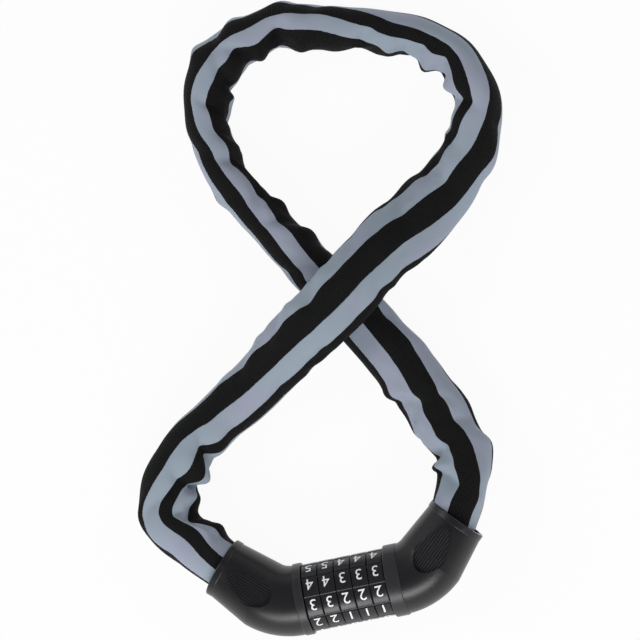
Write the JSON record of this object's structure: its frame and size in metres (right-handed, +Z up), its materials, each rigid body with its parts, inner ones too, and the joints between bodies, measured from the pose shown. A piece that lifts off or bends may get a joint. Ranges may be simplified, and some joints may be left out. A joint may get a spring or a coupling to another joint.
{
  "type": "combination chain lock",
  "caption": "Square-link security chain in a flat woven sleeve with reflective bands, closed by a combination barrel with a moulded elbow at each end; turn the dials, then pull the elbow off.",
  "frame": {"origin": "Middle of the lock as it lies in a figure of eight, on the surface it lies on.", "axes": "+X runs along the dial barrel towards the elbow that pulls off, +Y from the barrel towards the loops, +Z up from the surface."},
  "size_m": [0.2176, 0.314, 0.0456],
  "materials": {
    "housing_plastic": "satin black moulding",
    "collar_plastic": "satin black ring",
    "dial_plastic": "satin black with white numerals",
    "woven_sleeve": "ribbed black nylon with grey reflective bands",
    "chain_steel": "hardened, zinc plated",
    "lock_steel": "plated",
    "wheel_metal": "die cast",
    "spring_steel": "polished"
  },
  "bodies": {
    "lock_body": {"left_housing": "housing_plastic", "left_collar": "collar_plastic", "lock_core": "lock_steel", "core_clip": "spring_steel", "detent_strip": "spring_steel", "detent_balls": "spring_steel", "left_anchor": "lock_steel", "left_chain_pin": "lock_steel", "chain_link_01": "chain_steel", "chain_link_02": "chain_steel", "chain_link_03": "chain_steel", "chain_link_04": "chain_steel", "chain_link_05": "chain_steel", "chain_link_06": "chain_steel", "chain_link_07": "chain_steel", "chain_link_08": "chain_steel", "chain_link_09": "chain_steel", "chain_link_10": "chain_steel", "chain_link_11": "chain_steel", "chain_link_12": "chain_steel", "chain_link_13": "chain_steel", "chain_link_14": "chain_steel", "chain_link_15": "chain_steel", "chain_link_16": "chain_steel", "chain_link_17": "chain_steel", "chain_link_18": "chain_steel", "chain_link_19": "chain_steel", "chain_link_20": "chain_steel", "chain_link_21": "chain_steel", "chain_link_22": "chain_steel", "chain_link_23": "chain_steel", "chain_link_24": "chain_steel", "chain_link_25": "chain_steel", "chain_link_26": "chain_steel", "chain_link_27": "chain_steel", "chain_end_links": "chain_steel", "sleeve_end": "woven_sleeve", "sleeve_left_bend": "woven_sleeve", "sleeve_left_run": "woven_sleeve", "sleeve_loop_left": "woven_sleeve", "sleeve_loop_right": "woven_sleeve"},
    "bolt_end": {"right_housing": "housing_plastic", "right_collar": "collar_plastic", "locking_bolt": "lock_steel", "right_anchor": "lock_steel", "right_chain_pin": "lock_steel"},
    "dial_1": {"dial_ring_1": "dial_plastic", "code_wheel_1": "wheel_metal"},
    "dial_2": {"dial_ring_2": "dial_plastic", "code_wheel_2": "wheel_metal"},
    "dial_3": {"dial_ring_3": "dial_plastic", "code_wheel_3": "wheel_metal"},
    "dial_4": {"dial_ring_4": "dial_plastic", "code_wheel_4": "wheel_metal"},
    "dial_5": {"dial_ring_5": "dial_plastic", "code_wheel_5": "wheel_metal"}
  },
  "joints": [
    {"name": "bolt_slide", "type": "slide", "parent": "lock_body", "child": "bolt_end", "axis": [1, 0, 0], "range_m": [0, 0.052], "deforming": ["sleeve_end", "chain_end_links"]},
    {"name": "dial_1_spin", "type": "hinge", "parent": "lock_body", "child": "dial_1", "pos_m": [-0.0315, -0.1388, 0.01825], "axis": [1, 0, 0], "continuous": true},
    {"name": "dial_2_spin", "type": "hinge", "parent": "lock_body", "child": "dial_2", "pos_m": [-0.0231, -0.1388, 0.01825], "axis": [1, 0, 0], "continuous": true},
    {"name": "dial_3_spin", "type": "hinge", "parent": "lock_body", "child": "dial_3", "pos_m": [-0.0147, -0.1388, 0.01825], "axis": [1, 0, 0], "continuous": true},
    {"name": "dial_4_spin", "type": "hinge", "parent": "lock_body", "child": "dial_4", "pos_m": [-0.0063, -0.1388, 0.01825], "axis": [1, 0, 0], "continuous": true},
    {"name": "dial_5_spin", "type": "hinge", "parent": "lock_body", "child": "dial_5", "pos_m": [0.0021, -0.1388, 0.01825], "axis": [1, 0, 0], "continuous": true}
  ]
}
